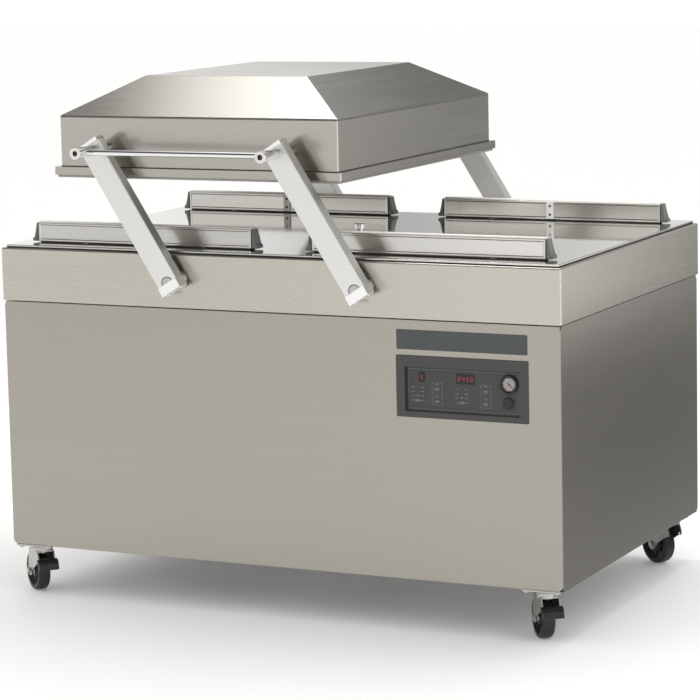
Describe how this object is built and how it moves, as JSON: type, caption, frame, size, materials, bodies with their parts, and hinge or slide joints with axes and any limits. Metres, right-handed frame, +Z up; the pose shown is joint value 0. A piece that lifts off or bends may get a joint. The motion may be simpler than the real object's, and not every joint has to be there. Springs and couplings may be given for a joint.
{
  "type": "vacuum packing machine",
  "caption": "Floor-standing double-chamber vacuum packing machine: a domed lid on parallel swing arms moves over a flat deck with seal bars, on a wheeled cabinet.",
  "frame": {"origin": "on the floor, below the middle of the whole machine's outline", "axes": "+X to the operator's right along the cabinet, +Y from the front towards the back, +Z up"},
  "size_m": [1.4919, 1.123, 1.2865],
  "materials": {
    "cabinet_steel": "horizontally brushed stainless sheet, satin",
    "band_steel": "horizontally brushed stainless, rounded top edge bright",
    "deck_steel": "near-mirror polished stainless plate",
    "lid_steel": "fine brushed stainless, welded and ground seams",
    "frame_steel": "mill-finish stainless channel and tube",
    "arm_alloy": "satin anodised, edges broken",
    "pin_steel": "turned and polished",
    "rod_chrome": "polished",
    "bearing_steel": "turned flanged bushes",
    "spring_steel": "oiled spring wire",
    "cylinder_alloy": "satin",
    "gasket_rubber": "matte black extrusion",
    "bar_alloy": "satin extrusion under release tape",
    "counter_alloy": "satin extrusion",
    "housing_plastic": "fine-textured dark grey",
    "strip_plastic": "smooth dark grey cover strip",
    "panel_plastic": "smooth dark front film",
    "gauge_black": "black bezel round a pale dial",
    "needle_red": "smooth",
    "button_black": "smooth black",
    "key_grey": "satin grey key",
    "pump_iron": "painted casting",
    "motor_alloy": "painted die casting",
    "valve_brass": "plain",
    "hose_rubber": "smooth black, spiral reinforced",
    "core_iron": "laminated core with a taped winding",
    "box_paint": "light grey powder coat",
    "gland_nylon": "black nylon",
    "caster_zinc": "bright zinc plate",
    "caster_nylon": "black moulded tread and web",
    "pedal_black": "black coated pressing"
  },
  "bodies": {
    "cabinet": {"base_frame": "frame_steel", "corner_posts": "frame_steel", "front_panel": "cabinet_steel", "rear_panel": "cabinet_steel", "side_panels": "cabinet_steel", "louvre_cover": "cabinet_steel", "panel_screws": "pin_steel", "chamber_band": "band_steel", "deck_plate": "deck_steel", "deck_gasket": "gasket_rubber", "deck_beams": "frame_steel", "lift_cylinders": "cylinder_alloy", "port_cap": "pin_steel", "shaft_bearings": "bearing_steel", "balance_springs": "spring_steel", "control_housing": "housing_plastic", "header_strip": "strip_plastic", "control_panel": "panel_plastic", "gauge_case": "gauge_black", "vacuum_pump": "pump_iron", "pump_motor": "motor_alloy", "vacuum_valve": "valve_brass", "vacuum_hose": "hose_rubber", "transformer": "core_iron", "control_box": "box_paint", "cable_gland": "gland_nylon", "caster_plates": "caster_zinc"},
    "left_arms": {"arms_left": "arm_alloy", "arm_clamps_left": "arm_alloy", "pivot_shaft_left": "pin_steel"},
    "right_arms": {"arms_right": "arm_alloy", "arm_clamps_right": "arm_alloy", "pivot_shaft_right": "pin_steel"},
    "lid": {"lid_shell": "lid_steel", "lid_gasket": "gasket_rubber", "lid_counter_bars": "counter_alloy", "lid_pins": "pin_steel", "handle_rod": "rod_chrome"},
    "gauge_needle": {"gauge_needle": "needle_red"},
    "main_button": {"main_button": "button_black"},
    "key_stop": {"key_stop": "key_grey"},
    "key_up": {"key_up": "key_grey"},
    "key_down": {"key_down": "key_grey"},
    "key_select": {"key_select": "key_grey"},
    "key_program": {"key_program": "key_grey"},
    "key_set": {"key_set": "key_grey"},
    "seal_bar_front_left": {"seal_bar_front_left": "bar_alloy"},
    "seal_bar_front_right": {"seal_bar_front_right": "bar_alloy"},
    "seal_bar_rear_left": {"seal_bar_rear_left": "bar_alloy"},
    "seal_bar_rear_right": {"seal_bar_rear_right": "bar_alloy"},
    "caster_front_left": {"caster_fork_front_left": "caster_zinc"},
    "wheel_front_left": {"caster_wheel_front_left": "caster_nylon"},
    "pedal_front_left": {"brake_pedal_front_left": "pedal_black"},
    "caster_front_right": {"caster_fork_front_right": "caster_zinc"},
    "wheel_front_right": {"caster_wheel_front_right": "caster_nylon"},
    "pedal_front_right": {"brake_pedal_front_right": "pedal_black"},
    "caster_rear_left": {"caster_fork_rear_left": "caster_zinc"},
    "wheel_rear_left": {"caster_wheel_rear_left": "caster_nylon"},
    "caster_rear_right": {"caster_fork_rear_right": "caster_zinc"},
    "wheel_rear_right": {"caster_wheel_rear_right": "caster_nylon"}
  },
  "joints": [
    {"name": "left_arms_swing", "type": "hinge", "parent": "cabinet", "child": "left_arms", "pos_m": [-0.247, 0.0355, 0.808], "axis": [0, 1, 0], "range_deg": [-34.99, 99.39], "stiffness_Nm_per_rad": 135, "springref_deg": 32.2},
    {"name": "right_arms_swing", "type": "hinge", "parent": "cabinet", "child": "right_arms", "pos_m": [0.247, 0.0355, 0.808], "axis": [0, 1, 0], "range_deg": [-34.99, 99.39]},
    {"name": "lid_level", "type": "hinge", "parent": "left_arms", "child": "lid", "pos_m": [-0.44337, 0.0355, 1.11982], "axis": [0, 1, 0], "range_deg": [-99.39, 34.99]},
    {"name": "seal_lift_front_left", "type": "slide", "parent": "cabinet", "child": "seal_bar_front_left", "axis": [0, 0, 1], "range_m": [0, 0.008]},
    {"name": "seal_lift_rear_left", "type": "slide", "parent": "cabinet", "child": "seal_bar_rear_left", "axis": [0, 0, 1], "range_m": [0, 0.008]},
    {"name": "seal_lift_front_right", "type": "slide", "parent": "cabinet", "child": "seal_bar_front_right", "axis": [0, 0, 1], "range_m": [0, 0.008]},
    {"name": "seal_lift_rear_right", "type": "slide", "parent": "cabinet", "child": "seal_bar_rear_right", "axis": [0, 0, 1], "range_m": [0, 0.008]},
    {"name": "swivel_front_left", "type": "hinge", "parent": "cabinet", "child": "caster_front_left", "pos_m": [-0.68, -0.3955, 0.11], "axis": [0, 0, 1], "continuous": true},
    {"name": "roll_front_left", "type": "hinge", "parent": "caster_front_left", "child": "wheel_front_left", "pos_m": [-0.70557, -0.37464, 0.05], "axis": [-0.632, -0.7749, 0], "continuous": true},
    {"name": "brake_front_left", "type": "hinge", "parent": "caster_front_left", "child": "pedal_front_left", "pos_m": [-0.65985, -0.41193, 0.082], "axis": [-0.632, -0.7749, 0], "range_deg": [-18, 0]},
    {"name": "swivel_front_right", "type": "hinge", "parent": "cabinet", "child": "caster_front_right", "pos_m": [0.68, -0.3955, 0.11], "axis": [0, 0, 1], "continuous": true},
    {"name": "roll_front_right", "type": "hinge", "parent": "caster_front_right", "child": "wheel_front_right", "pos_m": [0.65977, -0.36942, 0.05], "axis": [-0.7902, -0.6129, 0], "continuous": true},
    {"name": "brake_front_right", "type": "hinge", "parent": "caster_front_right", "child": "pedal_front_right", "pos_m": [0.69594, -0.41604, 0.082], "axis": [-0.7902, -0.6129, 0], "range_deg": [-18, 0]},
    {"name": "swivel_rear_left", "type": "hinge", "parent": "cabinet", "child": "caster_rear_left", "pos_m": [-0.68, 0.4255, 0.11], "axis": [0, 0, 1], "continuous": true},
    {"name": "roll_rear_left", "type": "hinge", "parent": "caster_rear_left", "child": "wheel_rear_left", "pos_m": [-0.64985, 0.43892, 0.05], "axis": [-0.4067, 0.9135, 0], "continuous": true},
    {"name": "swivel_rear_right", "type": "hinge", "parent": "cabinet", "child": "caster_rear_right", "pos_m": [0.68, 0.4255, 0.11], "axis": [0, 0, 1], "continuous": true},
    {"name": "roll_rear_right", "type": "hinge", "parent": "caster_rear_right", "child": "wheel_rear_right", "pos_m": [0.65148, 0.4421, 0.05], "axis": [-0.503, -0.8643, 0], "continuous": true},
    {"name": "gauge_turn", "type": "hinge", "parent": "cabinet", "child": "gauge_needle", "pos_m": [0.6078, -0.433, 0.6004], "axis": [0, -1, 0], "range_deg": [0, 270], "stiffness_Nm_per_rad": 0.002},
    {"name": "button_press", "type": "slide", "parent": "cabinet", "child": "main_button", "axis": [0, 1, 0], "range_m": [0, 0.004], "stiffness_N_per_m": 400},
    {"name": "press_stop", "type": "slide", "parent": "cabinet", "child": "key_stop", "axis": [0, 1, 0], "range_m": [0, 0.0008], "stiffness_N_per_m": 800},
    {"name": "press_up", "type": "slide", "parent": "cabinet", "child": "key_up", "axis": [0, 1, 0], "range_m": [0, 0.0008], "stiffness_N_per_m": 800},
    {"name": "press_down", "type": "slide", "parent": "cabinet", "child": "key_down", "axis": [0, 1, 0], "range_m": [0, 0.0008], "stiffness_N_per_m": 800},
    {"name": "press_select", "type": "slide", "parent": "cabinet", "child": "key_select", "axis": [0, 1, 0], "range_m": [0, 0.0008], "stiffness_N_per_m": 800},
    {"name": "press_program", "type": "slide", "parent": "cabinet", "child": "key_program", "axis": [0, 1, 0], "range_m": [0, 0.0008], "stiffness_N_per_m": 800},
    {"name": "press_set", "type": "slide", "parent": "cabinet", "child": "key_set", "axis": [0, 1, 0], "range_m": [0, 0.0008], "stiffness_N_per_m": 800}
  ],
  "couplings": [
    {"joint": "right_arms_swing", "follows": "left_arms_swing", "ratio": 1},
    {"joint": "lid_level", "follows": "left_arms_swing", "ratio": -1},
    {"joint": "seal_lift_rear_left", "follows": "seal_lift_front_left", "ratio": 1},
    {"joint": "seal_lift_rear_right", "follows": "seal_lift_front_right", "ratio": 1}
  ]
}
